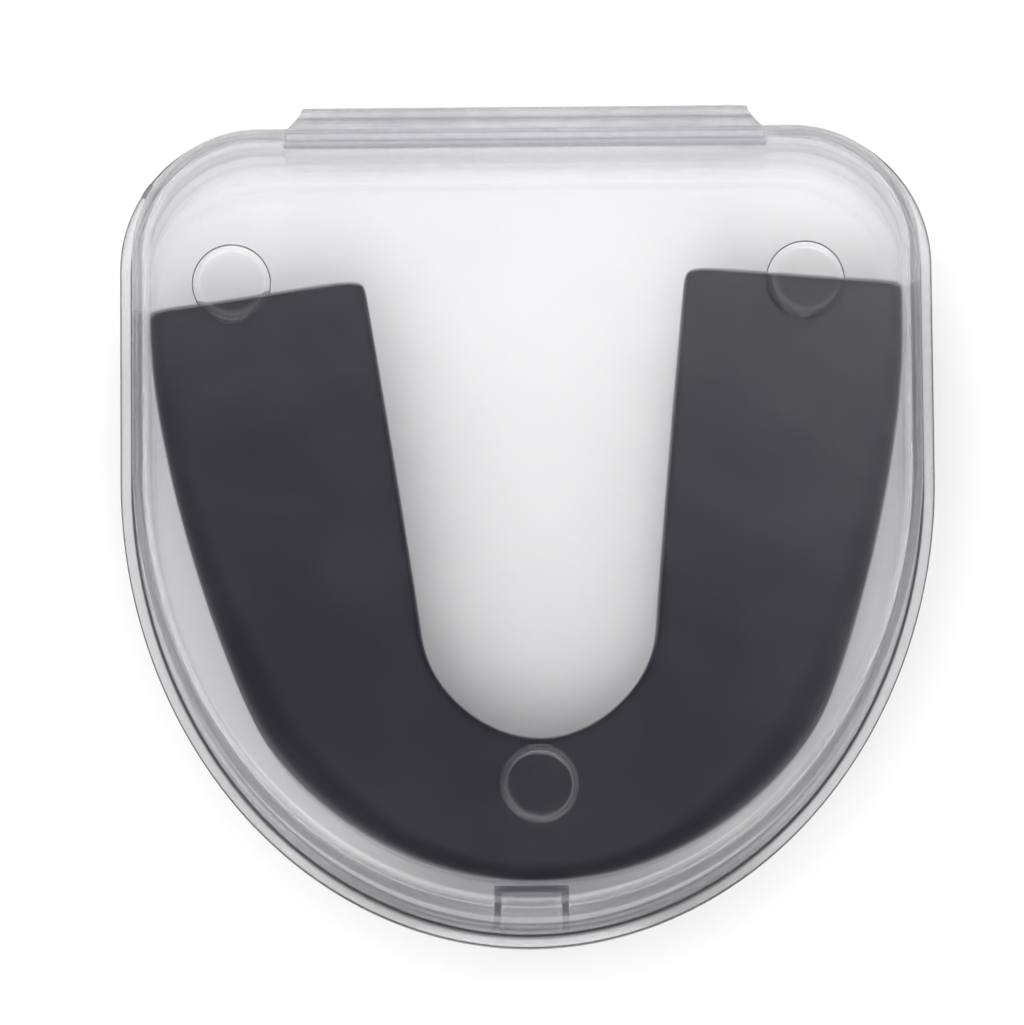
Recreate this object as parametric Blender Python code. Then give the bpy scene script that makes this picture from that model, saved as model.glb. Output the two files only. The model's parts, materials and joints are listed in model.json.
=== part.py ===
"""Mouthguard in a clear hinged case, closed and lying flat.

A one-piece boil-and-bite mouthguard lies loose in a D-shaped clamshell case, bite face up.
The real case is one moulding: a base tray and a lid joined along the straight back edge by
a thin living hinge. The two halves are separate objects here because they move, and the
fold between them is a third.

Units are metres. +Z is up, +X runs to the right along the hinge, and +Y points from the
round front to the hinge. The origin is under the middle of the closed case, on the surface
that it lies on.
"""
import math

import bmesh
import bpy
from mathutils import Matrix, Vector
from mathutils.geometry import interpolate_bezier

MM = 0.001

# The case seen from above: a half ellipse in front, straight sides and rounded back corners.
RIM_WIDTH = 74.0 * MM
RIM_FRONT_Y = -38.5 * MM
RIM_BACK_Y = 36.5 * MM
FRONT_CURVE_DEPTH = 42.6 * MM
BACK_CORNER_RADIUS = 13.0 * MM
FRONT_CURVE_STEPS = 48
CORNER_STEPS = 8

# The case seen from the side: two equal half shells that meet at the parting plane.
CASE_HEIGHT = 24.0 * MM
PARTING_Z = CASE_HEIGHT / 2
PARTING_GAP = 0.3 * MM
WALL = 1.1 * MM
PLATE = 1.2 * MM
RIM_STEP = 1.2 * MM
RIM_THICKNESS = 1.2 * MM
WALL_LEAN = 0.4 * MM
FRONT_EXTRA_LEAN = 0.7 * MM
EDGE_RADIUS = 1.6 * MM
INNER_EDGE_RADIUS = 0.6 * MM
EDGE_STEPS = 4

# Living hinge: a leaf on each half and the fold between them, round the hinge axis.
FOLD_RADIUS = 0.35 * MM
FOLD_CLEARANCE = 0.3 * MM
FOLD_LENGTH = 41.0 * MM
FOLD_SIDES = 12
HINGE_AXIS = Vector((0.0, 38.5 * MM - FOLD_RADIUS, PARTING_Z))
LEAF_ROOT_WIDTH = 43.5 * MM
LEAF_TIP_WIDTH = 41.6 * MM
LEAF_THICKNESS = 0.8 * MM
LEAF_SET_BACK = 0.1 * MM

# How far an added block reaches into the shell that it grows out of.
ROOT_DEPTH = 0.5 * MM

# Three shallow round marks in the lid's top face.
MARK_DIAMETER = 6.8 * MM
MARK_DEPTH = 0.3 * MM
MARK_CENTRES = [(-26.4 * MM, 20.7 * MM), (25.0 * MM, 20.6 * MM), (0.8 * MM, -24.4 * MM)]
MARK_SIDES = 32

# Rib that stiffens the lid's back wall along the hinge.
BACK_RIB_LENGTH = 43.5 * MM
BACK_RIB_DEPTH = 0.8 * MM
BACK_RIB_BOTTOM_Z = 14.0 * MM

# Snap catch at the middle of the front: a pocket in the lid takes a tongue on the base.
POCKET_WIDTH = 6.6 * MM
POCKET_WALL = 0.6 * MM
POCKET_BACK_Y = -33.4 * MM
POCKET_BOTTOM_Z = 13.2 * MM
TONGUE_WIDTH = 4.6 * MM
TONGUE_THICKNESS = 0.8 * MM
TONGUE_FRONT_Y = -35.4 * MM
TONGUE_TOP_Z = 16.0 * MM
TONGUE_FOOT_Z = 6.0 * MM
TONGUE_FOOT_TOP_Z = 11.4 * MM

# Stub that the moulding gate left across the lid's rim, on the left back corner.
GATE_ANGLE = math.radians(145.0)
GATE_SIZE = Vector((1.0, 1.4, 0.7)) * MM

# Mouthguard: each edge is two cubic curves in millimetres, from an arm's end to the knee
# where the arm bends, and from the knee round to the middle of the front.
GUARD_OUTER_ARM = [(34.2, 21.0), (34.5, 6.0), (28.0, -13.0), (25.5, -17.5)]
GUARD_OUTER_FRONT = [(25.5, -17.5), (23.0, -22.0), (14.0, -32.1), (0.0, -32.1)]
GUARD_INNER_ARM = [(14.6, 23.6), (13.0, 12.0), (10.9, -5.5), (10.5, -9.5)]
GUARD_INNER_FRONT = [(10.5, -9.5), (10.0, -14.5), (5.0, -19.0), (0.0, -19.0)]
GUARD_CURVE_STEPS = 12
GUARD_PLACE = Vector((0.6 * MM, -1.0 * MM, PLATE + 0.3 * MM))
GUARD_TURN = math.radians(1.8)
GUARD_HEIGHT = 20.0 * MM
BITE_PLATE = 3.2 * MM
LABIAL_WALL = 2.8 * MM
LINGUAL_WALL = 2.4 * MM
LINGUAL_BOTTOM = 8.0 * MM
ARM_END_RISE = 9.0 * MM
ARM_END_SHARE = 0.2
NOTCH_HEIGHT = 3.0 * MM
NOTCH_HALF_WIDTH = 3.5 * MM
ROLL_AT_ENDS = 0.6 * MM
ROLL_AT_SIDES = 2.4 * MM
FRONT_UNDERCUT = 1.6 * MM


def clear_scene():
    """Remove every object, so that the model starts from nothing."""
    for item in list(bpy.data.objects):
        bpy.data.objects.remove(item, do_unlink=True)


def make_material(name, colour, roughness, transmission=0.0):
    """Return a Principled material."""
    material = bpy.data.materials.new(name)
    material.use_nodes = True
    shader = material.node_tree.nodes["Principled BSDF"]
    shader.inputs["Base Color"].default_value = (*colour, 1.0)
    shader.inputs["Roughness"].default_value = roughness
    shader.inputs["Metallic"].default_value = 0.0
    shader.inputs["Transmission Weight"].default_value = transmission
    material.diffuse_color = (*colour, 1.0)
    return material


def finish_mesh(name, bm, material, origin=None, sharp_degrees=35.0):
    """Turn a bmesh in world space into an object with its origin at the given point."""
    bmesh.ops.recalc_face_normals(bm, faces=bm.faces)
    mesh = bpy.data.meshes.new(name)
    bm.to_mesh(mesh)
    bm.free()
    mesh.shade_smooth()
    mesh.set_sharp_from_angle(angle=math.radians(sharp_degrees))
    mesh.materials.append(material)
    item = bpy.data.objects.new(name, mesh)
    bpy.context.scene.collection.objects.link(item)
    if origin is not None:
        mesh.transform(Matrix.Translation(-origin))
        item.location = origin
    return item


def combine(target, helper, operation):
    """Add or cut a helper solid with a Boolean, and hide the helper."""
    modifier = target.modifiers.new(helper.name, "BOOLEAN")
    modifier.operation = operation
    modifier.solver = "EXACT"
    modifier.object = helper
    helper.hide_render = True
    helper.display_type = "WIRE"
    helper.parent = target
    helper.matrix_parent_inverse = Matrix.Translation(-target.location)


def prism(points, bottom, top):
    """Return a bmesh of a flat outline pulled up from one height to another."""
    bm = bmesh.new()
    base = bm.faces.new([bm.verts.new((x, y, bottom)) for x, y in points])
    pulled = bmesh.ops.extrude_face_region(bm, geom=[base])
    raised = [part for part in pulled["geom"] if isinstance(part, bmesh.types.BMVert)]
    bmesh.ops.translate(bm, verts=raised, vec=(0.0, 0.0, top - bottom))
    return bm


def rectangle(width, front, back):
    """Return the corners of a rectangle centred on the Y axis."""
    half = width / 2
    return [(-half, front), (half, front), (half, back), (-half, back)]


def rim_outline():
    """Return points and outward normals round the rim, anticlockwise from the left side."""
    half = RIM_WIDTH / 2
    front_centre_y = RIM_FRONT_Y + FRONT_CURVE_DEPTH
    outline = []
    for step in range(FRONT_CURVE_STEPS + 1):
        angle = math.pi * (1.0 + step / FRONT_CURVE_STEPS)
        x = half * math.cos(angle)
        y = FRONT_CURVE_DEPTH * math.sin(angle)
        normal = Vector((x / half ** 2, y / FRONT_CURVE_DEPTH ** 2)).normalized()
        outline.append((Vector((x, front_centre_y + y)), normal))
    corner_x = half - BACK_CORNER_RADIUS
    corner_y = RIM_BACK_Y - BACK_CORNER_RADIUS
    for side, first_angle in ((1.0, 0.0), (-1.0, math.pi / 2)):
        for step in range(CORNER_STEPS + 1):
            angle = first_angle + math.pi / 2 * step / CORNER_STEPS
            normal = Vector((math.cos(angle), math.sin(angle)))
            centre = Vector((side * corner_x, corner_y))
            outline.append((centre + normal * BACK_CORNER_RADIUS, normal))
    return outline


def quarter_round(inset, height, radius, steps):
    """Return inset and height pairs from a plate's edge round to its wall."""
    turns = [math.pi / 2 * step / steps for step in range(steps + 1)]
    return [(inset - radius * math.sin(turn), height + radius * (1.0 - math.cos(turn)))
            for turn in turns]


def half_shell_profile():
    """Return inset from the rim and height above the outer face, outside first."""
    mating_height = PARTING_Z - PARTING_GAP / 2
    wall_inset = RIM_STEP + WALL_LEAN
    profile = quarter_round(wall_inset + EDGE_RADIUS, 0.0, EDGE_RADIUS, EDGE_STEPS)
    profile.append((RIM_STEP, mating_height - RIM_THICKNESS))
    profile.append((0.0, mating_height - RIM_THICKNESS))
    profile.append((0.0, mating_height))
    profile.append((RIM_STEP + WALL, mating_height))
    inner_inset = wall_inset + WALL + INNER_EDGE_RADIUS
    profile.extend(reversed(quarter_round(inner_inset, PLATE, INNER_EDGE_RADIUS, EDGE_STEPS)))
    return profile


def extra_lean(normal, height):
    """Return the front wall's extra lean at a height above the outer face: none at the rim."""
    rim_height = PARTING_Z - PARTING_GAP / 2 - RIM_THICKNESS
    share = max(0.0, 1.0 - height / rim_height)
    return FRONT_EXTRA_LEAN * share * max(0.0, -normal.y)


def half_shell(name, material, upside_down, origin=None):
    """Return one half of the case: a plate, its wall and the rim round the open side."""
    outline = rim_outline()
    bm = bmesh.new()
    rings = []
    for inset, height in half_shell_profile():
        z = CASE_HEIGHT - height if upside_down else height
        places = [point - normal * (inset + extra_lean(normal, height))
                  for point, normal in outline]
        rings.append([bm.verts.new((place.x, place.y, z)) for place in places])
    for lower, upper in zip(rings, rings[1:]):
        for index in range(len(outline)):
            following = (index + 1) % len(outline)
            bm.faces.new((lower[index], lower[following], upper[following], upper[index]))
    bm.faces.new(rings[0])
    bm.faces.new(rings[-1])
    return finish_mesh(name, bm, material, origin)


def hinge_leaf(name, material, bottom):
    """Return the tapered strip that carries a rim out to the fold."""
    tip_y = HINGE_AXIS.y - FOLD_RADIUS - FOLD_CLEARANCE
    root = LEAF_ROOT_WIDTH / 2
    tip = LEAF_TIP_WIDTH / 2
    inside_y = RIM_BACK_Y - ROOT_DEPTH
    points = [(-root, inside_y), (root, inside_y), (root, RIM_BACK_Y), (tip, tip_y),
              (-tip, tip_y), (-root, RIM_BACK_Y)]
    return finish_mesh(name, prism(points, bottom, bottom + LEAF_THICKNESS), material)


def snap_tongue():
    """Return the base's tongue: a foot on the front wall and a thin blade above it."""
    foot_front = RIM_FRONT_Y + RIM_STEP + WALL - ROOT_DEPTH
    back = TONGUE_FRONT_Y + TONGUE_THICKNESS
    side = [(foot_front, TONGUE_FOOT_Z), (back, TONGUE_FOOT_Z), (back, TONGUE_TOP_Z),
            (TONGUE_FRONT_Y, TONGUE_TOP_Z), (TONGUE_FRONT_Y, TONGUE_FOOT_TOP_Z),
            (foot_front, TONGUE_FOOT_TOP_Z)]
    half = TONGUE_WIDTH / 2
    bm = bmesh.new()
    end = bm.faces.new([bm.verts.new((-half, y, z)) for y, z in side])
    pulled = bmesh.ops.extrude_face_region(bm, geom=[end])
    moved = [part for part in pulled["geom"] if isinstance(part, bmesh.types.BMVert)]
    bmesh.ops.translate(bm, verts=moved, vec=(TONGUE_WIDTH, 0.0, 0.0))
    return bm


def case_base(material):
    """Build the tray with its hinge leaf and snap tongue."""
    base = half_shell("case_base", material, upside_down=False)
    leaf_bottom = PARTING_Z - PARTING_GAP / 2 - LEAF_SET_BACK - LEAF_THICKNESS
    combine(base, hinge_leaf("base_leaf", material, leaf_bottom), "UNION")
    combine(base, finish_mesh("tongue", snap_tongue(), material), "UNION")
    return base


def snap_pocket():
    """Return the three thin walls that make a pocket against the lid's leaning front wall."""
    half = POCKET_WIDTH / 2
    inner = half - POCKET_WALL
    wall_y = RIM_FRONT_Y + RIM_STEP + WALL + WALL_LEAN + FRONT_EXTRA_LEAN - 1.5 * ROOT_DEPTH
    inner_back = POCKET_BACK_Y - POCKET_WALL
    points = [(-half, wall_y), (-inner, wall_y), (-inner, inner_back), (inner, inner_back),
              (inner, wall_y), (half, wall_y), (half, POCKET_BACK_Y), (-half, POCKET_BACK_Y)]
    pocket = prism(points, POCKET_BOTTOM_Z, CASE_HEIGHT - PLATE + ROOT_DEPTH / 2)
    foot = [vert for vert in pocket.verts
            if vert.co.y < (wall_y + inner_back) / 2 and vert.co.z < CASE_HEIGHT - PLATE]
    bmesh.ops.translate(pocket, verts=foot, vec=(0.0, -FRONT_EXTRA_LEAN, 0.0))
    return pocket


def back_rib():
    """Return the rib inside the lid's back wall."""
    wall_y = RIM_BACK_Y - RIM_STEP - WALL_LEAN - WALL
    points = rectangle(BACK_RIB_LENGTH, wall_y - BACK_RIB_DEPTH, wall_y + ROOT_DEPTH)
    return prism(points, BACK_RIB_BOTTOM_Z, CASE_HEIGHT - PLATE + ROOT_DEPTH)


def gate_stub():
    """Return the small block left across the rim by the moulding gate."""
    centre_x = BACK_CORNER_RADIUS - RIM_WIDTH / 2
    centre_y = RIM_BACK_Y - BACK_CORNER_RADIUS
    reach = BACK_CORNER_RADIUS - GATE_SIZE.x / 2
    place = Vector((centre_x + reach * math.cos(GATE_ANGLE),
                    centre_y + reach * math.sin(GATE_ANGLE),
                    PARTING_Z + PARTING_GAP / 2 + RIM_THICKNESS))
    bm = bmesh.new()
    bmesh.ops.create_cube(bm, size=1.0)
    bmesh.ops.scale(bm, vec=GATE_SIZE, verts=bm.verts)
    bmesh.ops.rotate(bm, cent=(0, 0, 0), matrix=Matrix.Rotation(GATE_ANGLE, 3, "Z"), verts=bm.verts)
    bmesh.ops.translate(bm, vec=place, verts=bm.verts)
    return bm


def round_mark(centre_x, centre_y):
    """Return the disc that sinks one round mark into the lid's top face."""
    bm = bmesh.new()
    bmesh.ops.create_cone(bm, cap_ends=True, segments=MARK_SIDES, depth=2 * MARK_DEPTH,
                          radius1=MARK_DIAMETER / 2, radius2=MARK_DIAMETER / 2)
    bmesh.ops.translate(bm, vec=(centre_x, centre_y, CASE_HEIGHT), verts=bm.verts)
    return bm


def case_lid(material):
    """Build the lid on its hinge axis, with its leaf, pocket, rib, stub and round marks."""
    lid = half_shell("case_lid", material, upside_down=True, origin=HINGE_AXIS)
    leaf_bottom = PARTING_Z + PARTING_GAP / 2 + LEAF_SET_BACK
    combine(lid, hinge_leaf("lid_leaf", material, leaf_bottom), "UNION")
    combine(lid, finish_mesh("pocket", snap_pocket(), material), "UNION")
    combine(lid, finish_mesh("back_rib", back_rib(), material), "UNION")
    combine(lid, finish_mesh("gate_stub", gate_stub(), material), "UNION")
    for number, centre in enumerate(MARK_CENTRES, start=1):
        combine(lid, finish_mesh(f"mark_{number}", round_mark(*centre), material), "DIFFERENCE")
    return lid


def hinge_fold(material):
    """Build the fold of thin plastic that joins the two leaves, round the hinge axis."""
    bm = bmesh.new()
    bmesh.ops.create_cone(bm, cap_ends=True, segments=FOLD_SIDES, depth=FOLD_LENGTH,
                          radius1=FOLD_RADIUS, radius2=FOLD_RADIUS)
    bmesh.ops.rotate(bm, cent=(0, 0, 0), matrix=Matrix.Rotation(math.pi / 2, 3, "Y"), verts=bm.verts)
    bmesh.ops.translate(bm, vec=HINGE_AXIS, verts=bm.verts)
    return finish_mesh("hinge_fold", bm, material, HINGE_AXIS)


def guard_edge(arm, front):
    """Return points along one edge of the guard, from an arm's end to the front."""
    points = []
    for curve in (arm, front):
        knots = [Vector((x * MM, y * MM, 0.0)) for x, y in curve]
        points.extend(interpolate_bezier(*knots, GUARD_CURVE_STEPS + 1)[1 if points else 0:])
    return points


def guard_section(outer, inner, share):
    """Return the guard's cross-section between its outer and inner edge.

    share runs from 0 at an arm's end to 1 at the front.
    """
    across = (inner - outer).normalized()
    width = (inner - outer).length
    end = max(0.0, 1.0 - share / ARM_END_SHARE)
    rise = ARM_END_RISE * end ** 2
    notch = NOTCH_HEIGHT * math.exp(-(outer.x / NOTCH_HALF_WIDTH) ** 2) * share
    bottom = rise + notch
    inner_bottom = LINGUAL_BOTTOM + rise / 3
    roll = ROLL_AT_ENDS + (ROLL_AT_SIDES - ROLL_AT_ENDS) * math.sin(math.pi * share) ** 2
    top = GUARD_HEIGHT
    ceiling = GUARD_HEIGHT - BITE_PLATE
    soft = 0.8 * MM
    lingual = width - LINGUAL_WALL
    undercut = FRONT_UNDERCUT * share ** 4
    section = [
        (roll + soft, top),
        (roll * 0.7, top - soft),
        (roll / 3, top - 2 * soft),
        (roll / 8, top - 4 * soft),
        (0.0, ceiling - 4 * soft),
        (soft / 4, bottom + soft),
        (soft, bottom),
        (LABIAL_WALL - soft, bottom),
        (LABIAL_WALL, bottom + soft),
        (LABIAL_WALL + soft / 2, ceiling - 2 * soft),
        (LABIAL_WALL + 2 * soft, ceiling),
        (lingual - 2 * soft, ceiling),
        (lingual - soft / 2, ceiling - 2 * soft),
        (lingual, inner_bottom + soft),
        (lingual + soft, inner_bottom),
        (width - soft, inner_bottom),
        (width - soft / 4, inner_bottom + soft),
        (width, top - soft),
        (width - soft, top),
    ]
    places = []
    for reach, height in section:
        shift = undercut * (1.0 - height / top) if reach < width / 2 else 0.0
        places.append(outer + across * (reach + shift) + Vector((0.0, 0.0, height)))
    return places


def mouthguard(material):
    """Build the guard: a U-shaped trough, open side down, lying slightly turned in the base."""
    outer_edge = guard_edge(GUARD_OUTER_ARM, GUARD_OUTER_FRONT)
    inner_edge = guard_edge(GUARD_INNER_ARM, GUARD_INNER_FRONT)
    last = len(outer_edge) - 1
    sections = [guard_section(outer, inner, step / last)
                for step, (outer, inner) in enumerate(zip(outer_edge, inner_edge))]
    mirrored = [[Vector((-place.x, place.y, place.z)) for place in section]
                for section in reversed(sections[:-1])]
    bm = bmesh.new()
    rings = [[bm.verts.new(place) for place in section] for section in sections + mirrored]
    for first, second in zip(rings, rings[1:]):
        for index in range(len(first)):
            following = (index + 1) % len(first)
            bm.faces.new((first[index], first[following], second[following], second[index]))
    bm.faces.new(rings[0])
    bm.faces.new(rings[-1])
    guard = finish_mesh("mouthguard", bm, material, sharp_degrees=60.0)
    guard.location = GUARD_PLACE
    guard.rotation_euler.z = GUARD_TURN
    return guard


def build():
    """Build the closed case with the mouthguard inside it."""
    clear_scene()
    clear_plastic = make_material("clear_plastic", (0.85, 0.85, 0.87), 0.12, transmission=0.9)
    guard_rubber = make_material("guard_rubber", (0.035, 0.034, 0.042), 0.5)
    case_base(clear_plastic)
    case_lid(clear_plastic)
    hinge_fold(clear_plastic)
    mouthguard(guard_rubber)


build()
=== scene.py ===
"""Looks of the mouthguard in its clear hinged case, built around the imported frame.

The two half shells, the living hinge and the guard are rebuilt here as fine meshes in the
places that the frame gives. Lengths are in metres, so sizes in millimetres are multiplied by
MM. Heights inside a half shell are measured from its plate's outer face.
"""
import json
import math

import bmesh
import bpy
from mathutils import Matrix, Vector
from mathutils.geometry import interpolate_bezier


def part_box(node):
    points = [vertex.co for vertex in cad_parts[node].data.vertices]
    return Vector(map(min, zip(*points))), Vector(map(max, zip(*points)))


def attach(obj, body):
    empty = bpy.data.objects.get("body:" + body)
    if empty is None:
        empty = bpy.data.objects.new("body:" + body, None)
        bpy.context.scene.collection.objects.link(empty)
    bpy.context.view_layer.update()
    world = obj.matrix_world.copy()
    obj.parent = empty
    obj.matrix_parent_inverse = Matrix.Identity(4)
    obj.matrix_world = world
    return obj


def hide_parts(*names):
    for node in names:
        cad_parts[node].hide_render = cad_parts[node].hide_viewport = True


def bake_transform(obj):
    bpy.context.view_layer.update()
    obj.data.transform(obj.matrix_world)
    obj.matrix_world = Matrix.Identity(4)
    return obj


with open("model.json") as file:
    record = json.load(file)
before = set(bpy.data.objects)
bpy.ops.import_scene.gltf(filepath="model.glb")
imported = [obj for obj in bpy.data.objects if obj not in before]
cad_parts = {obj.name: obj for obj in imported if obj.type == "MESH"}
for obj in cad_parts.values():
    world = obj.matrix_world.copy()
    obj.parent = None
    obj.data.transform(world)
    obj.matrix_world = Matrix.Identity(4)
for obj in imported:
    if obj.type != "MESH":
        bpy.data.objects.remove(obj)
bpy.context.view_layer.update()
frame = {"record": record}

MM = 0.001
# Edges sharper than this stay crisp in the shading.
SHARP_DEGREES = 30.0

# Places that the frame gives.
BASE_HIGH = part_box("case_base")[1]
LID_LOW, LID_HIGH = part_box("case_lid")
GUARD_LOW, GUARD_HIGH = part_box("mouthguard")
HINGE = frame["record"]["behaviour"]["joints"][0]
AXIS = Vector(HINGE["pos_m"])
PARTING_Z = AXIS.z
CASE_HEIGHT = LID_HIGH.z
# Gap between the parting plane and each half.
MATING_GAP = LID_LOW.z - PARTING_Z

# Half shells, as the CAD has them, with finer steps and softened edges.
RIM_HALF_WIDTH = LID_HIGH.x
RIM_FRONT_Y = LID_LOW.y
RIM_BACK_Y = 36.5 * MM
FRONT_CURVE_DEPTH = 42.6 * MM
BACK_CORNER_RADIUS = 13.0 * MM
FRONT_CURVE_STEPS = 150
CORNER_STEPS = 28
BACK_STEPS = 24
WALL = 1.1 * MM
PLATE = 1.2 * MM
RIM_STEP = 1.2 * MM
RIM_THICKNESS = 1.2 * MM
WALL_LEAN = 0.4 * MM
FRONT_EXTRA_LEAN = 0.7 * MM
EDGE_RADIUS = 1.6 * MM
INNER_EDGE_RADIUS = 0.6 * MM
EDGE_STEPS = 10
SOFT_EDGE = 0.12 * MM
SOFT_STEPS = 3
STEP_FOOT_RADIUS = 2 * SOFT_EDGE
# How far from the foot of the rim's step its darker surface, a painted line of shade, reaches.
STEP_FOOT_REACH = 2.1 * SOFT_EDGE
# Extra rings on a flat plate, this far inside its rounded edge, keep the shading even.
NEAR_RING = 0.2 * MM
FAR_RING = 1.2 * MM

# Leaves, marks, rib, catch and gate stub of the shells, as the CAD has them. ROOT_DEPTH is how
# far an addition reaches into the wall that it grows from.
ROOT_DEPTH = 0.5 * MM
LEAF_ROOT_WIDTH = 43.5 * MM
LEAF_TIP_WIDTH = 41.6 * MM
LEAF_THICKNESS = 0.8 * MM
LEAF_SET_BACK = 0.1 * MM
LEAF_TIP_Y = 37.5 * MM
MARK_RADIUS = 3.4 * MM
MARK_SIDES = 96
# The mark's edge from its floor up through the lid's face: reach past its radius, and depth.
MARK_EDGE = [(-1.2 * MM, 0.300 * MM), (-0.56 * MM, 0.300 * MM), (-0.46 * MM, 0.290 * MM),
             (-0.32 * MM, 0.250 * MM), (-0.14 * MM, 0.170 * MM), (0.0, 0.105 * MM),
             (0.04 * MM, 0.090 * MM), (0.14 * MM, 0.001 * MM), (0.16 * MM, -0.200 * MM)]
# The band of that edge that ends at the lid's face, which gets the darker step surface as a fine
# dark line of painted shade.
MARK_CRISP_BAND = 6
MARK_CENTRES = [(-26.4 * MM, 20.7 * MM), (25.0 * MM, 20.6 * MM), (0.8 * MM, -24.4 * MM)]
BACK_RIB_LENGTH = 43.5 * MM
BACK_RIB_DEPTH = 0.8 * MM
BACK_RIB_BOTTOM_Z = 14.0 * MM
POCKET_WIDTH = 6.6 * MM
POCKET_WALL = 0.6 * MM
POCKET_BACK_Y = -33.4 * MM
POCKET_BOTTOM_Z = 13.2 * MM
TONGUE_WIDTH = 4.6 * MM
TONGUE_THICKNESS = 0.8 * MM
TONGUE_FRONT_Y = -35.4 * MM
TONGUE_FOOT_Z = 6.0 * MM
TONGUE_FOOT_TOP_Z = 11.4 * MM
GATE_ANGLE = math.radians(145.0)
GATE_SIZE = Vector((1.0, 1.4, 0.7)) * MM

# Living hinge: the thin web between the leaf tips. It leaves a leaf's tip towards the bend, runs
# round the bend in a half circle whose centre lies a little in front of the hinge axis, and
# gets narrower on each side by WEB_TAPER times the way towards the back.
WEB_THICKNESS = 0.24 * MM
WEB_HALF_WIDTH = 20.5 * MM
WEB_TAPER = 0.55
WEB_BEND_RADIUS = 0.42 * MM
WEB_BEND_SET_BACK = 0.1 * MM
WEB_BEND_STEPS = 16
WEB_RUN_IN = 0.2 * MM
WEB_RUN_IN_SPREAD = 0.06 * MM

# Mouthguard. Its edges are Bezier curves from the end of the right arm to the middle of the
# front, with these control points in millimetres.
GUARD_OUTER_ARM = [(34.2, 21.0), (34.5, 6.0), (28.0, -13.0), (25.5, -17.5)]
GUARD_OUTER_FRONT = [(25.5, -17.5), (23.0, -22.0), (14.0, -32.1), (0.0, -32.1)]
GUARD_INNER_ARM = [(14.6, 23.6), (13.0, 12.0), (10.9, -5.5), (10.5, -9.5)]
GUARD_INNER_FRONT = [(10.5, -9.5), (10.0, -14.5), (5.0, -19.0), (0.0, -19.0)]
GUARD_CURVE_STEPS = 16
GUARD_SUBDIVISIONS = 2
GUARD_SOFT_EDGE = 0.8 * MM
# Arm ends: how the inner corner is cut back, and where an extra ring sits from the outer to
# the inner edge, which keeps the outer corner sharper than the inner one.
TIP_CUT_POWER = 3
TIP_SHARP = 0.2
TIP_ROUND = 0.8
GUARD_PLACE = Vector((0.6 * MM, -1.0 * MM, GUARD_LOW.z))
GUARD_TURN = math.radians(1.8)
GUARD_HEIGHT = GUARD_HIGH.z - GUARD_LOW.z
BITE_PLATE = 3.2 * MM
LABIAL_WALL = 2.8 * MM
LINGUAL_WALL = 2.4 * MM
LINGUAL_BOTTOM = 8.0 * MM
# The outer flange's bottom rises towards the arm's end, over this share of the arm and front,
# and the inner flange's bottom rises by a share of that.
ARM_END_RISE = 9.0 * MM
ARM_END_SHARE = 0.2
LINGUAL_RISE_SHARE = 1 / 3
NOTCH_HEIGHT = 3.0 * MM
NOTCH_HALF_WIDTH = 3.5 * MM
# How far the outer flange rolls inwards below the top face, at the ends and front and halfway.
ROLL_AT_ENDS = 0.6 * MM
ROLL_AT_SIDES = 2.4 * MM
# How far the bottom of the outer flange leans inwards at the front, fading to the sides.
FRONT_UNDERCUT = 1.6 * MM
FRONT_UNDERCUT_POWER = 4

# Plastic: the share of the light that goes straight through each surface, how fast light fades
# inside, the colour that it fades to, what a shadow ray keeps, and the colour of the haze.
STRAIGHT_SHARE = 0.35
FADE_DENSITY = 62.0
FADE_COLOUR = (0.5, 0.492, 0.54, 1.0)
SHADOW_COLOUR = (0.99, 0.99, 0.99, 1.0)
HAZE_COLOUR = (0.40, 0.40, 0.43, 1.0)
PLASTIC_ROUGHNESS = 0.07
PLASTIC_IOR = 1.49
WAVE_HEIGHT = 0.5 * MM

# Kinds of plastic surface, as material slots: plain, the rims' outer edges, the hinge's leaves,
# which are stress-whitened, small steps, the thin walls of the catch, and the hinge's bent web.
# For each: the material's name, how much light a surface lets in, the share of that left near
# the round front, and how much haze it has, in plain places and in smears. The lower values that
# the rims' outer edges, the small steps and the bent web let in are painted shade, standing for
# the dark lines of plastic seen on edge, and the share near the round front is painted shade too.
PLAIN, EDGE, FOLD, STEP, CATCH, BEND = range(6)
SURFACES = {PLAIN: ("case_plain", 0.945, 0.88, 0.002, 0.016),
            EDGE: ("case_edge", 0.60, 1.0, 0.01, 0.05),
            FOLD: ("case_fold", 0.92, 1.0, 0.10, 0.30),
            STEP: ("case_step", 0.76, 1.0, 0.01, 0.05),
            CATCH: ("case_catch", 0.985, 1.0, 0.45, 0.60),
            BEND: ("case_bend", 0.86, 1.0, 0.10, 0.30)}

# Stations along Y, from front to back, between which surfaces near the round front let in less
# light, as painted shade: the dimming begins, is full, is still full, and ends.
FRONT_PAINTED_SHADE_Y = (-37.2 * MM, -36.2 * MM, -33.0 * MM, -28.0 * MM)

# Sky: how bright it is at each height (the sine of the angle above the horizon), turned
# a little so that its dark middle lies towards the front left.
SKY_LEVELS = ((0.0, 0.44), (0.20, 0.49), (0.40, 0.64), (0.80, 0.82), (0.93, 2.6), (0.963, 3.0),
              (0.983, 0.22), (0.991, 0.02))
SKY_TILT = (math.radians(-2.5), math.radians(4.5), 0.0)
SKY_STRENGTH = 3.0
# Sky level that the camera sees directly.
SKY_SEEN = 0.93

# Lamp: one soft square light almost overhead, and its power in watts.
LAMP_PLACE = Vector((-0.04, -0.15, 0.74))
LAMP_AIM = Vector((0.0, 0.0, 0.0))
LAMP_SIZE = 0.28
LAMP_POWER = 1.15

# Guard and floor materials.
GUARD_DARK = (0.0075, 0.0068, 0.0120, 1.0)
GUARD_LIGHT = (0.0105, 0.0094, 0.0165, 1.0)
GRAIN_HEIGHT = 0.05 * MM
FLOOR_COLOUR = (0.98, 0.98, 0.98, 1.0)
FLOOR_HALF_SIZE = 3.0
FLOOR_DROP = 0.02 * MM

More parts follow.
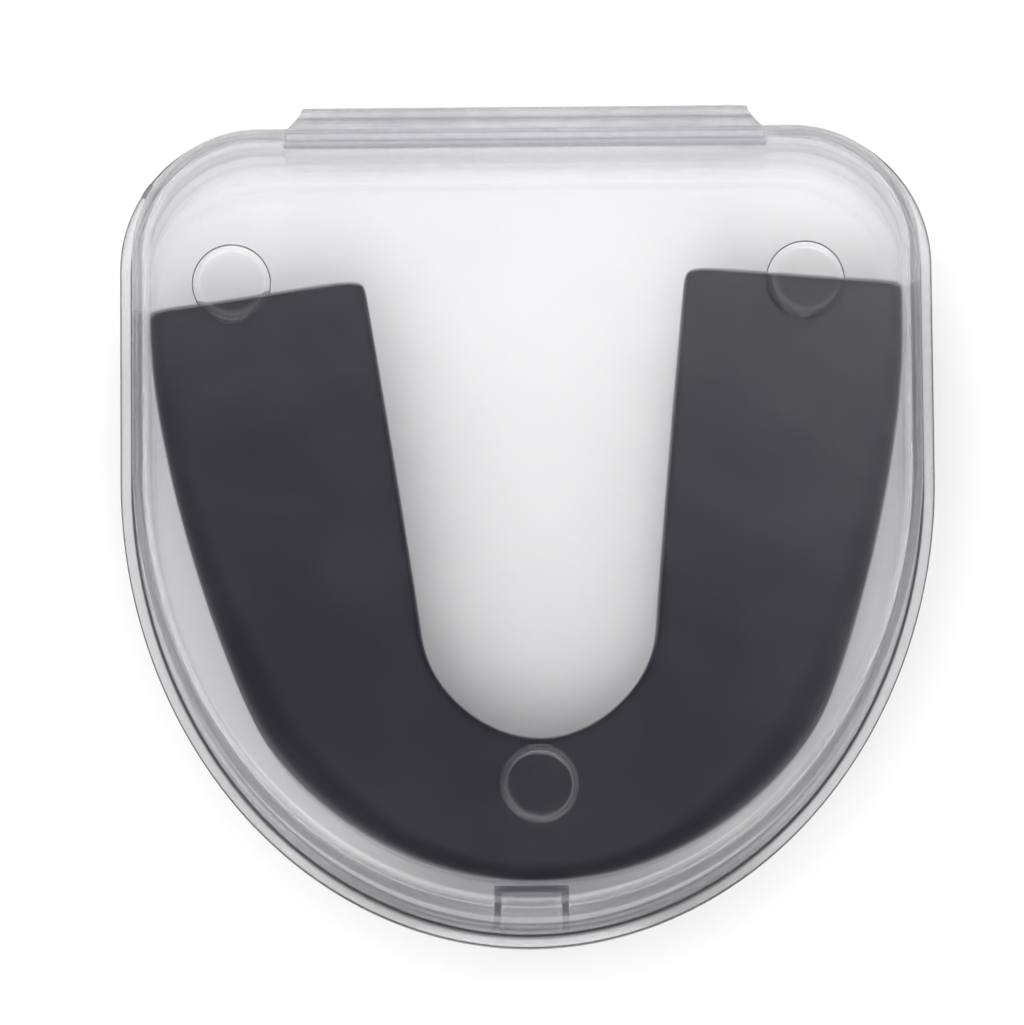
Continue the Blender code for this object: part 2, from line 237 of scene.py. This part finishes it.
# Camera: almost straight down, tipped a little towards the round front.
CAMERA_ELEVATION = math.radians(83.5)
CAMERA_DISTANCE = 0.60
CAMERA_ROLL = math.radians(-0.5)
CAMERA_AIM = Vector((-1.45 * MM, 1.2 * MM, PARTING_Z))
VIEW_WIDTH = 93.3 * MM
# In millimetres, as the camera wants it.
SENSOR_WIDTH = 36.0


def object_from(name, bm, sharp_degrees=SHARP_DEGREES):
    """Make a smooth-shaded object from a bmesh, with an empty slot for each kind of surface."""
    bmesh.ops.recalc_face_normals(bm, faces=bm.faces)
    mesh = bpy.data.meshes.new(name)
    bm.to_mesh(mesh)
    bm.free()
    for _ in SURFACES:
        mesh.materials.append(None)
    mesh.shade_smooth()
    mesh.set_sharp_from_angle(angle=math.radians(sharp_degrees))
    item = bpy.data.objects.new(name, mesh)
    bpy.context.scene.collection.objects.link(item)
    return item


def apply_modifiers(item):
    """Bake an object's modifiers into its mesh."""
    graph = bpy.context.evaluated_depsgraph_get()
    baked = bpy.data.meshes.new_from_object(item.evaluated_get(graph))
    item.modifiers.clear()
    item.data = baked
    baked.shade_smooth()
    baked.set_sharp_from_angle(angle=math.radians(SHARP_DEGREES))


def combine(target, solids):
    """Add or cut solids given as (bmesh, operation) pairs, and bake the result."""
    helpers = []
    for bm, operation in solids:
        helper = object_from("helper", bm)
        modifier = target.modifiers.new("part", "BOOLEAN")
        modifier.operation = operation
        modifier.solver = "EXACT"
        modifier.object = helper
        helpers.append(helper)
    apply_modifiers(target)
    for helper in helpers:
        bpy.data.objects.remove(helper, do_unlink=True)


def soften(bm, width):
    """Round every edge of a small solid."""
    bmesh.ops.bevel(bm, geom=bm.edges[:], offset=width, segments=2, profile=0.5,
                    affect="EDGES", clamp_overlap=True)


def with_surface(bm, kind):
    """Give every face of a solid one kind of surface."""
    for face in bm.faces:
        face.material_index = kind
    return bm


def pull(points, direction, width=SOFT_EDGE):
    """Return a solid made by pulling a closed outline along a vector, with soft edges."""
    bm = bmesh.new()
    first = bm.faces.new([bm.verts.new(point) for point in points])
    pulled = bmesh.ops.extrude_face_region(bm, geom=[first])
    moved = [part for part in pulled["geom"] if isinstance(part, bmesh.types.BMVert)]
    bmesh.ops.translate(bm, verts=moved, vec=direction)
    bmesh.ops.recalc_face_normals(bm, faces=bm.faces)
    soften(bm, width)
    return bm


def rim_outline():
    """Return points and outward normals round the rim, anticlockwise from the left side."""
    half = RIM_HALF_WIDTH
    front_centre_y = RIM_FRONT_Y + FRONT_CURVE_DEPTH
    outline = []
    for step in range(FRONT_CURVE_STEPS + 1):
        angle = math.pi * (1.0 + step / FRONT_CURVE_STEPS)
        x = half * math.cos(angle)
        y = FRONT_CURVE_DEPTH * math.sin(angle)
        normal = Vector((x / half ** 2, y / FRONT_CURVE_DEPTH ** 2)).normalized()
        outline.append((Vector((x, front_centre_y + y)), normal))
    corner_x = half - BACK_CORNER_RADIUS
    corner_y = RIM_BACK_Y - BACK_CORNER_RADIUS
    for side, first_angle in ((1.0, 0.0), (-1.0, math.pi / 2)):
        for step in range(CORNER_STEPS + 1):
            angle = first_angle + math.pi / 2 * step / CORNER_STEPS
            normal = Vector((math.cos(angle), math.sin(angle)))
            centre = Vector((side * corner_x, corner_y))
            outline.append((centre + normal * BACK_CORNER_RADIUS, normal))
        if side > 0:
            for step in range(1, BACK_STEPS):
                x = corner_x * (1.0 - 2.0 * step / BACK_STEPS)
                outline.append((Vector((x, RIM_BACK_Y)), Vector((0.0, 1.0))))
    return outline


def arc(inset, height, radius, first, last, steps):
    """Return inset and height pairs along an arc, its angles in degrees from the inset axis."""
    pairs = []
    for step in range(steps + 1):
        angle = math.radians(first + (last - first) * step / steps)
        pairs.append((inset + radius * math.cos(angle), height + radius * math.sin(angle)))
    return pairs


def half_shell_profile():
    """Return inset from the rim and height above the outer face, outside first."""
    mating = PARTING_Z - MATING_GAP
    rim_bottom = mating - RIM_THICKNESS
    wall_inset = RIM_STEP + WALL_LEAN
    soft = SOFT_EDGE
    foot = STEP_FOOT_RADIUS
    outer_edge = wall_inset + EDGE_RADIUS
    profile = [(outer_edge + FAR_RING, 0.0), (outer_edge + NEAR_RING, 0.0)]
    profile += arc(outer_edge, EDGE_RADIUS, EDGE_RADIUS, 270, 180, EDGE_STEPS)
    profile += [(RIM_STEP + WALL_LEAN / 2, (EDGE_RADIUS + rim_bottom) / 2)]
    profile += arc(RIM_STEP - foot, rim_bottom - foot, foot, 0, 90, SOFT_STEPS)
    profile += arc(soft, rim_bottom + soft, soft, 270, 180, SOFT_STEPS)
    profile += arc(soft, mating - soft, soft, 180, 90, SOFT_STEPS)
    inner_rim = RIM_STEP + WALL
    profile += arc(inner_rim - soft, mating - soft, soft, 90, 0, SOFT_STEPS)
    inner_wall = wall_inset + WALL
    corner = INNER_EDGE_RADIUS
    inner_edge = inner_wall + corner
    profile += [((inner_rim + inner_wall) / 2, (PLATE + mating) / 2)]
    profile += arc(inner_edge, PLATE + corner, corner, 180, 270, EDGE_STEPS)
    profile += [(inner_edge + NEAR_RING, PLATE), (inner_edge + FAR_RING, PLATE)]
    return profile


def extra_lean(normal, height):
    """Return the front wall's extra lean at a height above the outer face: none at the rim."""
    rim_height = PARTING_Z - MATING_GAP - RIM_THICKNESS
    share = max(0.0, 1.0 - height / rim_height)
    return FRONT_EXTRA_LEAN * share * max(0.0, -normal.y)


def band_surface(start, end):
    """Return the kind of surface between two neighbouring points of the profile."""
    # The rim's outer face and the foot of its step get darker surfaces: painted shade for dark edge
    # lines.
    if max(start[0], end[0]) <= SOFT_EDGE:
        return EDGE
    rim_bottom = PARTING_Z - MATING_GAP - RIM_THICKNESS
    at_step = all(abs(inset - RIM_STEP) < STEP_FOOT_REACH
                  and abs(height - rim_bottom) < STEP_FOOT_REACH
                  for inset, height in (start, end))
    return STEP if at_step else PLAIN


def half_shell(name, upside_down):
    """Return one half of the case: a plate, its wall and the rim round the open side."""
    outline = rim_outline()
    bm = bmesh.new()
    rings = []
    profile = half_shell_profile()
    for inset, height in profile:
        z = CASE_HEIGHT - height if upside_down else height
        places = [point - normal * (inset + extra_lean(normal, height))
                  for point, normal in outline]
        rings.append([bm.verts.new((place.x, place.y, z)) for place in places])
    for band, (lower, upper) in enumerate(zip(rings, rings[1:])):
        kind = band_surface(profile[band], profile[band + 1])
        for index in range(len(outline)):
            following = (index + 1) % len(outline)
            face = bm.faces.new((lower[index], lower[following], upper[following], upper[index]))
            face.material_index = kind
    bm.faces.new(rings[0])
    bm.faces.new(rings[-1])
    return object_from(name, bm)


def hinge_leaf(bottom):
    """Return the tapered strip that carries a rim out to the fold."""
    root = LEAF_ROOT_WIDTH / 2
    tip = LEAF_TIP_WIDTH / 2
    inside_y = RIM_BACK_Y - ROOT_DEPTH
    corners = [(-root, inside_y), (root, inside_y), (root, RIM_BACK_Y), (tip, LEAF_TIP_Y),
               (-tip, LEAF_TIP_Y), (-root, RIM_BACK_Y)]
    leaf = pull([(x, y, bottom) for x, y in corners], (0.0, 0.0, LEAF_THICKNESS))
    return with_surface(leaf, FOLD)


def snap_tongue():
    """Return the base's tongue: a foot on the front wall and a thin blade above it."""
    foot_front = RIM_FRONT_Y + RIM_STEP + WALL - ROOT_DEPTH
    back = TONGUE_FRONT_Y + TONGUE_THICKNESS
    top = BASE_HIGH.z
    side = [(foot_front, TONGUE_FOOT_Z), (back, TONGUE_FOOT_Z), (back, top),
            (TONGUE_FRONT_Y, top), (TONGUE_FRONT_Y, TONGUE_FOOT_TOP_Z),
            (foot_front, TONGUE_FOOT_TOP_Z)]
    half = TONGUE_WIDTH / 2
    tongue = pull([(-half, y, z) for y, z in side], (TONGUE_WIDTH, 0.0, 0.0))
    # The whole tongue gets the darker step surface, as painted shade.
    return with_surface(tongue, STEP)


def snap_pocket():
    """Return the three thin walls that make a pocket against the lid's leaning front wall."""
    half = POCKET_WIDTH / 2
    inner = half - POCKET_WALL
    wall_y = RIM_FRONT_Y + RIM_STEP + WALL + WALL_LEAN + FRONT_EXTRA_LEAN - 1.5 * ROOT_DEPTH
    inner_back = POCKET_BACK_Y - POCKET_WALL
    corners = [(-half, wall_y), (-inner, wall_y), (-inner, inner_back), (inner, inner_back),
               (inner, wall_y), (half, wall_y), (half, POCKET_BACK_Y), (-half, POCKET_BACK_Y)]
    top = CASE_HEIGHT - PLATE + ROOT_DEPTH / 2
    points = [(x, y, POCKET_BOTTOM_Z) for x, y in corners]
    pocket = pull(points, (0.0, 0.0, top - POCKET_BOTTOM_Z))
    for vert in pocket.verts:
        if vert.co.y < (wall_y + inner_back) / 2:
            vert.co.y -= FRONT_EXTRA_LEAN * (top - vert.co.z) / (top - POCKET_BOTTOM_Z)
    return with_surface(pocket, CATCH)


def back_rib():
    """Return the rib inside the lid's back wall."""
    wall_y = RIM_BACK_Y - RIM_STEP - WALL_LEAN - WALL
    half = BACK_RIB_LENGTH / 2
    front = wall_y - BACK_RIB_DEPTH
    back = wall_y + ROOT_DEPTH
    corners = [(-half, front), (half, front), (half, back), (-half, back)]
    top = CASE_HEIGHT - PLATE + ROOT_DEPTH
    points = [(x, y, BACK_RIB_BOTTOM_Z) for x, y in corners]
    return pull(points, (0.0, 0.0, top - BACK_RIB_BOTTOM_Z), width=2 * SOFT_EDGE)


def gate_stub():
    """Return the small block left across the rim by the moulding gate."""
    reach = BACK_CORNER_RADIUS - GATE_SIZE.x / 2
    place = Vector((BACK_CORNER_RADIUS - RIM_HALF_WIDTH + reach * math.cos(GATE_ANGLE),
                    RIM_BACK_Y - BACK_CORNER_RADIUS + reach * math.sin(GATE_ANGLE),
                    LID_LOW.z + RIM_THICKNESS))
    bm = bmesh.new()
    bmesh.ops.create_cube(bm, size=1.0)
    bmesh.ops.scale(bm, vec=GATE_SIZE, verts=bm.verts)
    bmesh.ops.rotate(bm, cent=(0, 0, 0), matrix=Matrix.Rotation(GATE_ANGLE, 3, "Z"), verts=bm.verts)
    bmesh.ops.translate(bm, vec=place, verts=bm.verts)
    soften(bm, SOFT_EDGE)
    # The whole stub gets the darker step surface, as painted shade.
    return with_surface(bm, STEP)


def round_mark(centre_x, centre_y):
    """Return the disc, with a sloping rounded edge, that sinks one mark into the lid's top."""
    bm = bmesh.new()
    rings = []
    for reach, depth in MARK_EDGE:
        radius = MARK_RADIUS + reach
        turns = [2 * math.pi * step / MARK_SIDES for step in range(MARK_SIDES)]
        rings.append([bm.verts.new((centre_x + radius * math.cos(turn),
                                    centre_y + radius * math.sin(turn), CASE_HEIGHT - depth))
                      for turn in turns])
    for band, (lower, upper) in enumerate(zip(rings, rings[1:])):
        for index in range(MARK_SIDES):
            following = (index + 1) % MARK_SIDES
            face = bm.faces.new((lower[index], lower[following], upper[following], upper[index]))
            # The band at the lid's face gets the darker step surface: a painted line of shade.
            face.material_index = STEP if band == MARK_CRISP_BAND else PLAIN
    bm.faces.new(rings[0][::-1])
    bm.faces.new(rings[-1])
    return bm


def make_lid():
    """Build the lid with its leaf, pocket, rib, stub and marks."""
    lid = half_shell("lid_shell", upside_down=True)
    leaf_bottom = LID_LOW.z + LEAF_SET_BACK
    additions = [hinge_leaf(leaf_bottom), snap_pocket(), back_rib(), gate_stub()]
    solids = [(bm, "UNION") for bm in additions]
    solids += [(round_mark(*centre), "DIFFERENCE") for centre in MARK_CENTRES]
    combine(lid, solids)
    return lid


def make_base():
    """Build the tray with its leaf and snap tongue."""
    base = half_shell("base_shell", upside_down=False)
    leaf_bottom = PARTING_Z - MATING_GAP - LEAF_SET_BACK - LEAF_THICKNESS
    combine(base, [(hinge_leaf(leaf_bottom), "UNION"), (snap_tongue(), "UNION")])
    return base


def make_hinge_web():
    """Build the folded strip of thin plastic between the two leaf tips."""
    leaf_offset = MATING_GAP + LEAF_SET_BACK + LEAF_THICKNESS / 2
    start_y = LEAF_TIP_Y - ROOT_DEPTH / 2
    bend_y = AXIS.y - WEB_BEND_SET_BACK
    radius = WEB_BEND_RADIUS
    path = [Vector((0.0, start_y, -leaf_offset)), Vector((0.0, LEAF_TIP_Y, -leaf_offset)),
            Vector((0.0, LEAF_TIP_Y + WEB_RUN_IN, -radius - WEB_RUN_IN_SPREAD))]
    for step in range(WEB_BEND_STEPS + 1):
        angle = math.radians(-90 + 180 * step / WEB_BEND_STEPS)
        path.append(Vector((0.0, bend_y + radius * math.cos(angle), radius * math.sin(angle))))
    path += [Vector((0.0, point.y, -point.z)) for point in reversed(path[:3])]
    bm = bmesh.new()
    rings = []
    for index, point in enumerate(path):
        before = path[max(index - 1, 0)]
        after = path[min(index + 1, len(path) - 1)]
        along = (after - before).normalized()
        side = Vector((0.0, along.z, -along.y)) * WEB_THICKNESS / 2
        ring = []
        for sign in (-1.0, 1.0):
            place = point + side * sign
            half = WEB_HALF_WIDTH + (AXIS.y - place.y) * WEB_TAPER
            ring.append([bm.verts.new((x, place.y, PARTING_Z + place.z)) for x in (-half, half)])
        rings.append((ring[0][0], ring[0][1], ring[1][1], ring[1][0]))
    for first, second in zip(rings, rings[1:]):
        for index in range(4):
            following = (index + 1) % 4
            bm.faces.new((first[index], first[following], second[following], second[index]))
    bm.faces.new(rings[0])
    bm.faces.new(rings[-1])
    return object_from("hinge_web", bm)


def guard_edge(arm, front):
    """Return points along one edge of the guard, from an arm's end to the front."""
    points = []
    for curve in (arm, front):
        knots = [Vector((x * MM, y * MM, 0.0)) for x, y in curve]
        points.extend(interpolate_bezier(*knots, GUARD_CURVE_STEPS + 1)[1 if points else 0:])
    return points


def guard_section(outer, inner, share):
    """Return the guard's skin at one station: outside and trough side, labial to lingual.

    share runs from 0 at an arm's end to 1 at the front. Each point of a skin is a reach from
    the outer edge and a height, and parts of the roll and of the soft edge round the corners.
    """
    across = (inner - outer).normalized()
    width = (inner - outer).length
    end = max(0.0, 1.0 - share / ARM_END_SHARE)
    rise = ARM_END_RISE * end ** 2
    notch = NOTCH_HEIGHT * math.exp(-(outer.x / NOTCH_HALF_WIDTH) ** 2) * share
    bottom = rise + notch
    inner_bottom = LINGUAL_BOTTOM + rise * LINGUAL_RISE_SHARE
    roll = ROLL_AT_ENDS + (ROLL_AT_SIDES - ROLL_AT_ENDS) * math.sin(math.pi * share) ** 2
    top = GUARD_HEIGHT
    ceiling = GUARD_HEIGHT - BITE_PLATE
    soft = GUARD_SOFT_EDGE
    lingual = width - LINGUAL_WALL
    undercut = FRONT_UNDERCUT * share ** FRONT_UNDERCUT_POWER
    outside = [
        (soft, bottom), (soft / 4, bottom + soft), (0.0, (bottom + ceiling) / 2),
        (roll / 8, top - 4 * soft), (roll / 3, top - 2 * soft), (roll * 0.7, top - soft),
        (roll + soft, top), (roll + 3 * soft, top), (width / 2, top), (width - 2 * soft, top),
        (width - soft / 2, top), (width, top - soft / 2), (width, (inner_bottom + ceiling) / 2),
        (width - soft / 4, inner_bottom + soft), (width - soft, inner_bottom),
    ]
    trough = [
        (LABIAL_WALL - soft, bottom), (LABIAL_WALL, bottom + soft),
        (LABIAL_WALL + soft / 4, (bottom + ceiling) / 2),
        (LABIAL_WALL + soft / 3, ceiling - 4 * soft), (LABIAL_WALL + soft / 2, ceiling - 2 * soft),
        (LABIAL_WALL + soft, ceiling - soft), (LABIAL_WALL + 2 * soft, ceiling),
        (LABIAL_WALL + 4 * soft, ceiling), (width / 2, ceiling), (lingual - 4 * soft, ceiling),
        (lingual - 2 * soft, ceiling), (lingual - soft, ceiling - soft),
        (lingual - soft / 2, (inner_bottom + ceiling) / 2), (lingual, inner_bottom + soft),
        (lingual + soft, inner_bottom),
    ]
    skins = []
    for skin in (outside, trough):
        places = []
        for reach, height in skin:
            shift = undercut * (1.0 - height / top) if reach < width / 2 else 0.0
            places.append(outer + across * (reach + shift) + Vector((0.0, 0.0, height)))
        skins.append(places)
    return skins


def make_guard():
    """Build the guard: a smooth U-shaped trough, open side down, slightly turned."""
    outer_edge = guard_edge(GUARD_OUTER_ARM, GUARD_OUTER_FRONT)
    inner_edge = guard_edge(GUARD_INNER_ARM, GUARD_INNER_FRONT)
    last = len(outer_edge) - 1
    right = [guard_section(outer, inner, step / last)
             for step, (outer, inner) in enumerate(zip(outer_edge, inner_edge))]
    right[0] = [[near.lerp(far, (index / len(first)) ** TIP_CUT_POWER)
                 for index, (near, far) in enumerate(zip(first, second))]
                for first, second in zip(right[0], right[1])]
    right.insert(1, [[near.lerp(far, TIP_SHARP + (TIP_ROUND - TIP_SHARP) * index / len(first))
                      for index, (near, far) in enumerate(zip(first, second))]
                     for first, second in zip(right[0], right[1])])
    left = [[[Vector((-place.x, place.y, place.z)) for place in skin] for skin in section]
            for section in reversed(right[:-1])]
    bm = bmesh.new()
    rings = []
    for outside, trough in right + left:
        rings.append([[bm.verts.new(place) for place in skin] for skin in (outside, trough)])
    for first, second in zip(rings, rings[1:]):
        for skin in range(2):
            for index in range(len(first[skin]) - 1):
                bm.faces.new((first[skin][index], first[skin][index + 1],
                              second[skin][index + 1], second[skin][index]))
        for index in (0, -1):
            bm.faces.new((first[0][index], first[1][index], second[1][index], second[0][index]))
    for outside, trough in (rings[0], rings[-1]):
        for index in range(len(outside) - 1):
            bm.faces.new((outside[index], outside[index + 1], trough[index + 1], trough[index]))
    turn = Matrix.Translation(GUARD_PLACE) @ Matrix.Rotation(GUARD_TURN, 4, "Z")
    bmesh.ops.transform(bm, matrix=turn, verts=bm.verts)
    guard = object_from("guard_body", bm, sharp_degrees=180.0)
    smooth = guard.modifiers.new("smooth", "SUBSURF")
    smooth.levels = GUARD_SUBDIVISIONS
    smooth.render_levels = GUARD_SUBDIVISIONS
    return guard


def node_graph(name):
    """Return a new material with only an output node, its nodes and links, and that output."""
    material = bpy.data.materials.new(name)
    material.use_nodes = True
    nodes = material.node_tree.nodes
    nodes.clear()
    return material, nodes, material.node_tree.links, nodes.new("ShaderNodeOutputMaterial")


def add_node(nodes, kind, settings=None):
    """Add one node and set the inputs that are given by name."""
    node = nodes.new("ShaderNode" + kind)
    for name, value in (settings or {}).items():
        node.inputs[name].default_value = value
    return node


def add_grey_ramp(nodes, stops):
    """Add a colour ramp of greys, given as (position, level) pairs in order."""
    ramp = add_node(nodes, "ValToRGB")
    elements = ramp.color_ramp.elements
    while len(elements) < len(stops):
        elements.new(0.5)
    for element, (position, level) in zip(elements, stops):
        element.position = position
        element.color = (level, level, level, 1.0)
    return ramp


def add_haze(nodes, links, clear_shader, plain, smear):
    """Return the clear shader with milky haze, stronger in faint smears."""
    coords = add_node(nodes, "TexCoord")
    smears = add_node(nodes, "TexNoise", {"Scale": 60.0, "Detail": 6.0, "Roughness": 0.65})
    level = add_node(nodes, "MapRange", {"From Min": 0.45, "From Max": 0.75,
                                         "To Min": plain, "To Max": smear})
    haze = add_node(nodes, "BsdfDiffuse", {"Color": HAZE_COLOUR})
    mix = add_node(nodes, "MixShader")
    links.new(coords.outputs["Object"], smears.inputs["Vector"])
    links.new(smears.outputs["Fac"], level.inputs["Value"])
    links.new(level.outputs["Result"], mix.inputs["Fac"])
    links.new(clear_shader.outputs["Shader"], mix.inputs[1])
    links.new(haze.outputs["BSDF"], mix.inputs[2])
    return mix.outputs["Shader"]


def surface_tint_and_painted_shade(nodes, links, let_in_and_painted_shade, painted_front_shade):
    """Return the colour that a plastic surface lets in, with painted shade making it darker near
    the round front.
    """
    coords = add_node(nodes, "TexCoord")
    split = add_node(nodes, "SeparateXYZ")
    place = add_node(nodes, "MapRange", {"From Min": RIM_FRONT_Y, "From Max": 0.0})
    # Painted shade: surfaces near the round front are darkened by position along Y.
    shades = (1.0, painted_front_shade, painted_front_shade, 1.0)
    ramp = add_grey_ramp(nodes, [(1.0 - y / RIM_FRONT_Y, let_in_and_painted_shade * shade)
                                 for y, shade in zip(FRONT_PAINTED_SHADE_Y, shades)])
    links.new(coords.outputs["Object"], split.inputs["Vector"])
    links.new(split.outputs["Y"], place.inputs["Value"])
    links.new(place.outputs["Result"], ramp.inputs["Fac"])
    return ramp.outputs["Color"]


def add_relief(nodes, links, shader, noise_settings, strength, distance):
    """Give a shader the fine relief of a noise pattern, by bump."""
    coords = add_node(nodes, "TexCoord")
    noise = add_node(nodes, "TexNoise", noise_settings)
    bump = add_node(nodes, "Bump", {"Strength": strength, "Distance": distance})
    links.new(coords.outputs["Object"], noise.inputs["Vector"])
    links.new(noise.outputs["Fac"], bump.inputs["Height"])
    links.new(bump.outputs["Normal"], shader.inputs["Normal"])


def clear_plastic(name, let_in_and_painted_shade, painted_front_shade, plain, smear):
    """Make clear, slightly milky polypropylene, which lets light through in its shadow.

    Part of the light goes straight through and part is bent as in glass, so that a wall seen
    on edge reads as a soft grey band, and the absorption darkens it by its real depth.
    """
    material, nodes, links, output = node_graph(name)
    glass = add_node(nodes, "BsdfPrincipled", {"Roughness": PLASTIC_ROUGHNESS,
                                               "IOR": PLASTIC_IOR, "Transmission Weight": 1.0})
    straight = add_node(nodes, "BsdfTransparent")
    shadow = add_node(nodes, "BsdfTransparent", {"Color": SHADOW_COLOUR})
    # The tint carries painted shade: darker on edges, steps and the bend, and near the round front.
    tint = surface_tint_and_painted_shade(nodes, links, let_in_and_painted_shade, painted_front_shade)
    links.new(tint, glass.inputs["Base Color"])
    links.new(tint, straight.inputs["Color"])
    clear = add_node(nodes, "MixShader", {"Fac": STRAIGHT_SHARE})
    links.new(glass.outputs["BSDF"], clear.inputs[1])
    links.new(straight.outputs["BSDF"], clear.inputs[2])
    path = add_node(nodes, "LightPath")
    mix = add_node(nodes, "MixShader")
    links.new(path.outputs["Is Shadow Ray"], mix.inputs["Fac"])
    links.new(add_haze(nodes, links, clear, plain, smear), mix.inputs[1])
    links.new(shadow.outputs["BSDF"], mix.inputs[2])
    links.new(mix.outputs["Shader"], output.inputs["Surface"])
    fade = add_node(nodes, "VolumeAbsorption", {"Color": FADE_COLOUR, "Density": FADE_DENSITY})
    links.new(fade.outputs["Volume"], output.inputs["Volume"])
    add_relief(nodes, links, glass, {"Scale": 90.0, "Detail": 2.0}, strength=0.08,
               distance=WAVE_HEIGHT)
    return material


def guard_rubber():
    """Make charcoal EVA with a fine satin grain."""
    material, nodes, links, output = node_graph("charcoal_eva")
    shader = add_node(nodes, "BsdfPrincipled", {"Roughness": 0.45, "Specular IOR Level": 0.12})
    coords = add_node(nodes, "TexCoord")
    cloud = add_node(nodes, "TexNoise", {"Scale": 220.0, "Detail": 5.0})
    tint = add_node(nodes, "MixRGB", {"Color1": GUARD_DARK, "Color2": GUARD_LIGHT})
    links.new(coords.outputs["Object"], cloud.inputs["Vector"])
    links.new(cloud.outputs["Fac"], tint.inputs["Fac"])
    links.new(tint.outputs["Color"], shader.inputs["Base Color"])
    add_relief(nodes, links, shader, {"Scale": 3500.0, "Detail": 3.0}, strength=0.25,
               distance=GRAIN_HEIGHT)
    links.new(shader.outputs["BSDF"], output.inputs["Surface"])
    return material


def floor_paint():
    """Make plain matt white."""
    material, nodes, links, output = node_graph("white_floor")
    shader = add_node(nodes, "BsdfPrincipled", {"Base Color": FLOOR_COLOUR, "Roughness": 0.9})
    links.new(shader.outputs["BSDF"], output.inputs["Surface"])
    return material


def make_floor():
    """Lay a large white floor just under the case."""
    bm = bmesh.new()
    bmesh.ops.create_grid(bm, x_segments=1, y_segments=1, size=FLOOR_HALF_SIZE)
    floor = object_from("floor", bm)
    floor.location.z = -FLOOR_DROP
    floor.data.materials.clear()
    floor.data.materials.append(floor_paint())


def make_lamp():
    """Add the soft square lamp."""
    data = bpy.data.lights.new("overhead", "AREA")
    data.shape = "SQUARE"
    data.size = LAMP_SIZE
    data.energy = LAMP_POWER
    lamp = bpy.data.objects.new("overhead", data)
    bpy.context.scene.collection.objects.link(lamp)
    lamp.location = LAMP_PLACE
    lamp.rotation_euler = (LAMP_AIM - LAMP_PLACE).to_track_quat("-Z", "Y").to_euler()


def make_sky():
    """Set a studio sky: a bright ring round a dark patch overhead, and plain to the camera."""
    world = bpy.data.worlds.new("studio")
    bpy.context.scene.world = world
    world.use_nodes = True
    nodes = world.node_tree.nodes
    links = world.node_tree.links
    background = nodes["Background"]
    background.inputs["Strength"].default_value = SKY_STRENGTH
    coords = add_node(nodes, "TexCoord")
    tilt = add_node(nodes, "Mapping", {"Rotation": SKY_TILT})
    split = add_node(nodes, "SeparateXYZ")
    ramp = add_grey_ramp(nodes, [(height, level / SKY_STRENGTH) for height, level in SKY_LEVELS])
    seen_shade = SKY_SEEN / SKY_STRENGTH
    path = add_node(nodes, "LightPath")
    pick = add_node(nodes, "MixRGB", {"Color2": (seen_shade, seen_shade, seen_shade, 1.0)})
    links.new(coords.outputs["Generated"], tilt.inputs["Vector"])
    links.new(tilt.outputs["Vector"], split.inputs["Vector"])
    links.new(split.outputs["Z"], ramp.inputs["Fac"])
    links.new(ramp.outputs["Color"], pick.inputs["Color1"])
    links.new(path.outputs["Is Camera Ray"], pick.inputs["Fac"])
    links.new(pick.outputs["Color"], background.inputs["Color"])


def make_camera():
    """Place the camera almost straight above the case."""
    data = bpy.data.cameras.new("camera")
    data.sensor_width = SENSOR_WIDTH
    data.lens = SENSOR_WIDTH * CAMERA_DISTANCE / VIEW_WIDTH
    data.clip_start = 0.01
    data.clip_end = 10.0
    camera = bpy.data.objects.new("camera", data)
    bpy.context.scene.collection.objects.link(camera)
    back = Vector((0.0, -math.cos(CAMERA_ELEVATION), math.sin(CAMERA_ELEVATION)))
    camera.location = CAMERA_AIM + back * CAMERA_DISTANCE
    look = (-back).to_track_quat("-Z", "Y").to_matrix().to_4x4()
    camera.rotation_euler = (look @ Matrix.Rotation(CAMERA_ROLL, 4, "Z")).to_euler()
    bpy.context.scene.camera = camera


def paint(piece, materials):
    """Fill a piece's slots with these materials, and drop the slots past them."""
    while len(piece.data.materials) > len(materials):
        piece.data.materials.pop()
    for index, material in enumerate(materials):
        piece.data.materials[index] = material


def assemble():
    """Make every piece, give it its materials, and fix it to its body of the frame."""
    plastics = [clear_plastic(*SURFACES[kind]) for kind in sorted(SURFACES)]
    lid = make_lid()
    base = make_base()
    web = make_hinge_web()
    guard = make_guard()
    # The web's darker bend surface is painted shade for its dark fold line.
    for piece, materials, node in ((lid, plastics, "case_lid"), (base, plastics, "case_base"),
                                   (web, [plastics[BEND]], "hinge_fold"),
                                   (guard, [guard_rubber()], "mouthguard")):
        paint(piece, materials)
        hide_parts(node)
    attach(lid, "lid")
    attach(base, "base")
    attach(guard, "base")
    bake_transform(web)


bpy.context.scene.view_settings.view_transform = "Standard"
make_camera()
make_sky()
make_lamp()
make_floor()
assemble()
